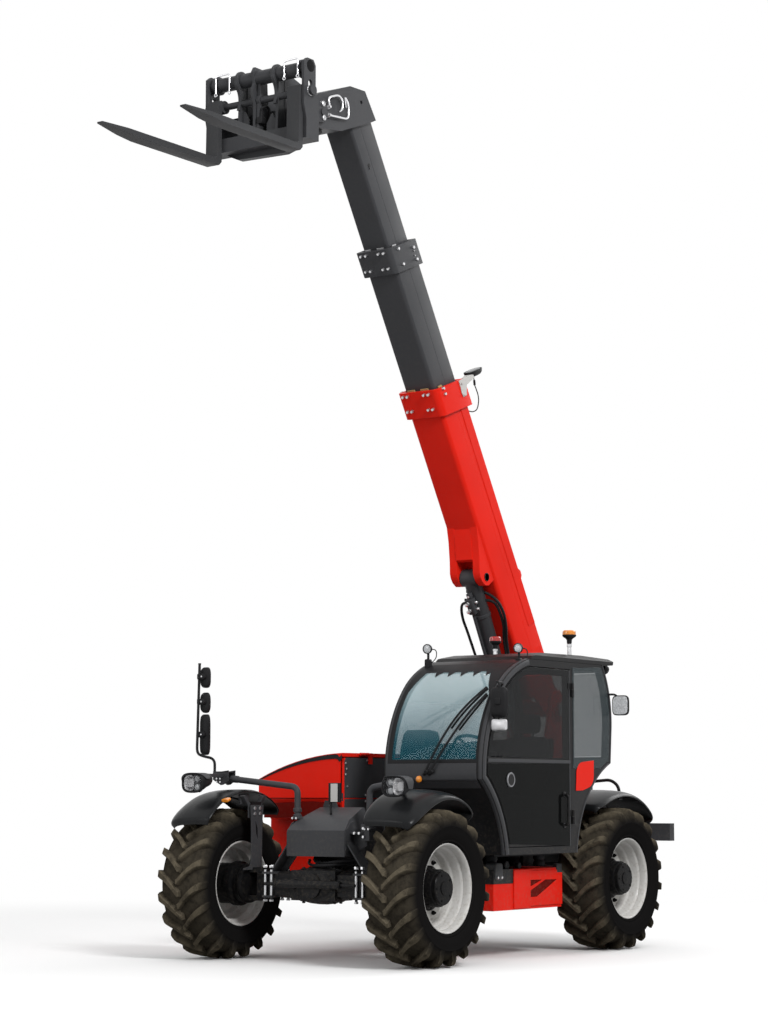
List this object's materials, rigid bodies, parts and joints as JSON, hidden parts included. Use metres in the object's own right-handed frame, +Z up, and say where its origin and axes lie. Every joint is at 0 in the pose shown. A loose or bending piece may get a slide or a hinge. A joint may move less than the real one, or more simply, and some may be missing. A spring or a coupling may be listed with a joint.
{
  "type": "telehandler",
  "caption": "Telehandler with side cab, telescopic boom raised with pallet forks, lift cylinder, steered wheels with lugged tyres, hinged door and engine hood.",
  "frame": {"origin": "on the ground, half way between the rear bumper and the fork tips, on the centre plane", "axes": "+X forward, +Y to the left, +Z up"},
  "size_m": [5.86, 2.54, 6.9572],
  "materials": {
    "paint_red": "gloss",
    "paint_grey": "satin",
    "paint_black": "satin",
    "bright_steel": "satin",
    "fork_steel": "worn satin",
    "engine_metal": "cast",
    "glazing": "clear, faintly blue",
    "seat_fabric": "woven",
    "black_plastic": "moulded",
    "fender_plastic": "smooth moulded",
    "rod_chrome": "polished",
    "tyre_rubber": "dusty",
    "rim_silver": "satin"
  },
  "bodies": {
    "chassis": {"chassis_frame": "paint_red", "boom_pivot_pin": "bright_steel", "front_box": "paint_grey", "axle_clamps": "paint_grey", "step_box": "paint_red", "rear_body": "paint_grey", "engine_bay": "paint_red", "engine_block": "engine_metal", "cab_shell": "paint_grey", "cab_glass": "glazing", "cab_roof": "paint_grey", "operator_seat": "seat_fabric", "steering_console": "black_plastic", "lamp_arms": "paint_grey", "headlights": "black_plastic", "mirrors": "black_plastic", "roof_lamps": "black_plastic", "front_axle": "paint_black", "rear_axle": "paint_black"},
    "boom": {"outer_boom": "paint_red", "boom_lamp": "black_plastic"},
    "extension_1": {"extension_1": "paint_grey"},
    "extension_2": {"extension_2": "paint_grey", "boom_head": "paint_grey"},
    "carriage": {"fork_carriage": "paint_grey", "forks": "fork_steel"},
    "lift_barrel": {"lift_barrel": "paint_grey"},
    "lift_rod": {"lift_rod": "rod_chrome"},
    "knuckle_fl": {"knuckle_fl": "paint_black", "fender_fl": "fender_plastic"},
    "knuckle_fr": {"knuckle_fr": "paint_black", "fender_fr": "fender_plastic"},
    "knuckle_rl": {"knuckle_rl": "paint_black", "fender_rl": "fender_plastic"},
    "knuckle_rr": {"knuckle_rr": "paint_black", "fender_rr": "fender_plastic"},
    "wheel_fl": {"tyre_fl": "tyre_rubber", "rim_fl": "rim_silver"},
    "wheel_fr": {"tyre_fr": "tyre_rubber", "rim_fr": "rim_silver"},
    "wheel_rl": {"tyre_rl": "tyre_rubber", "rim_rl": "rim_silver"},
    "wheel_rr": {"tyre_rr": "tyre_rubber", "rim_rr": "rim_silver"},
    "door": {"door_frame": "paint_grey", "door_glass": "glazing"},
    "hood": {"hood_lid": "paint_red"}
  },
  "joints": [
    {"name": "boom_lift", "type": "hinge", "parent": "chassis", "child": "boom", "pos_m": [-2.61, 0, 2.04], "axis": [0, -1, 0], "range_deg": [-62.2, 10.3]},
    {"name": "boom_slide_1", "type": "slide", "parent": "boom", "child": "extension_1", "axis": [0.5195, 0, 0.8545], "range_m": [-0.965, 0.9]},
    {"name": "boom_slide_2", "type": "slide", "parent": "extension_1", "child": "extension_2", "axis": [0.5195, 0, 0.8545], "range_m": [-0.93, 0.9]},
    {"name": "fork_tilt", "type": "hinge", "parent": "extension_2", "child": "carriage", "pos_m": [0.95844, 0, 6.62902], "axis": [0, 1, 0], "range_deg": [-74, 60]},
    {"name": "lift_cylinder_swing", "type": "hinge", "parent": "boom", "child": "lift_barrel", "pos_m": [-1.49396, 0, 3.13449], "axis": [0, -1, 0], "range_deg": [-3.43, 18.2]},
    {"name": "lift_cylinder_stroke", "type": "slide", "parent": "lift_barrel", "child": "lift_rod", "axis": [-0.4641, 0, -0.8858], "range_m": [-0.7895, 0.1341]},
    {"name": "front_steer_left", "type": "hinge", "parent": "chassis", "child": "knuckle_fl", "pos_m": [0.675, 0.75, 0.59], "axis": [0, 0, 1], "range_deg": [-35, 35]},
    {"name": "front_steer_right", "type": "hinge", "parent": "chassis", "child": "knuckle_fr", "pos_m": [0.675, -0.75, 0.59], "axis": [0, 0, 1], "range_deg": [-35, 35]},
    {"name": "rear_steer_left", "type": "hinge", "parent": "chassis", "child": "knuckle_rl", "pos_m": [-2.095, 0.75, 0.59], "axis": [0, 0, 1], "range_deg": [-35, 35]},
    {"name": "rear_steer_right", "type": "hinge", "parent": "chassis", "child": "knuckle_rr", "pos_m": [-2.095, -0.75, 0.59], "axis": [0, 0, 1], "range_deg": [-35, 35]},
    {"name": "wheel_fl_spin", "type": "hinge", "parent": "knuckle_fl", "child": "wheel_fl", "pos_m": [0.675, 0.973, 0.59], "axis": [0, 1, 0], "continuous": true},
    {"name": "wheel_fr_spin", "type": "hinge", "parent": "knuckle_fr", "child": "wheel_fr", "pos_m": [0.675, -0.973, 0.59], "axis": [0, 1, 0], "continuous": true},
    {"name": "wheel_rl_spin", "type": "hinge", "parent": "knuckle_rl", "child": "wheel_rl", "pos_m": [-2.095, 0.973, 0.59], "axis": [0, 1, 0], "continuous": true},
    {"name": "wheel_rr_spin", "type": "hinge", "parent": "knuckle_rr", "child": "wheel_rr", "pos_m": [-2.095, -0.973, 0.59], "axis": [0, 1, 0], "continuous": true},
    {"name": "cab_door", "type": "hinge", "parent": "chassis", "child": "door", "pos_m": [-1.226, 1.144, 1.5], "axis": [0, 0, 1], "range_deg": [0, 110]},
    {"name": "hood_hinge", "type": "hinge", "parent": "chassis", "child": "hood", "pos_m": [0, -0.246, 1.614], "axis": [-1, 0, 0], "range_deg": [0, 62]}
  ],
  "couplings": [
    {"joint": "lift_cylinder_swing", "follows": "boom_lift", "ratio": -0.28459},
    {"joint": "lift_cylinder_stroke", "follows": "boom_lift", "m_per_rad": 0.72353},
    {"joint": "front_steer_right", "follows": "front_steer_left", "ratio": 1},
    {"joint": "rear_steer_right", "follows": "rear_steer_left", "ratio": 1}
  ]
}
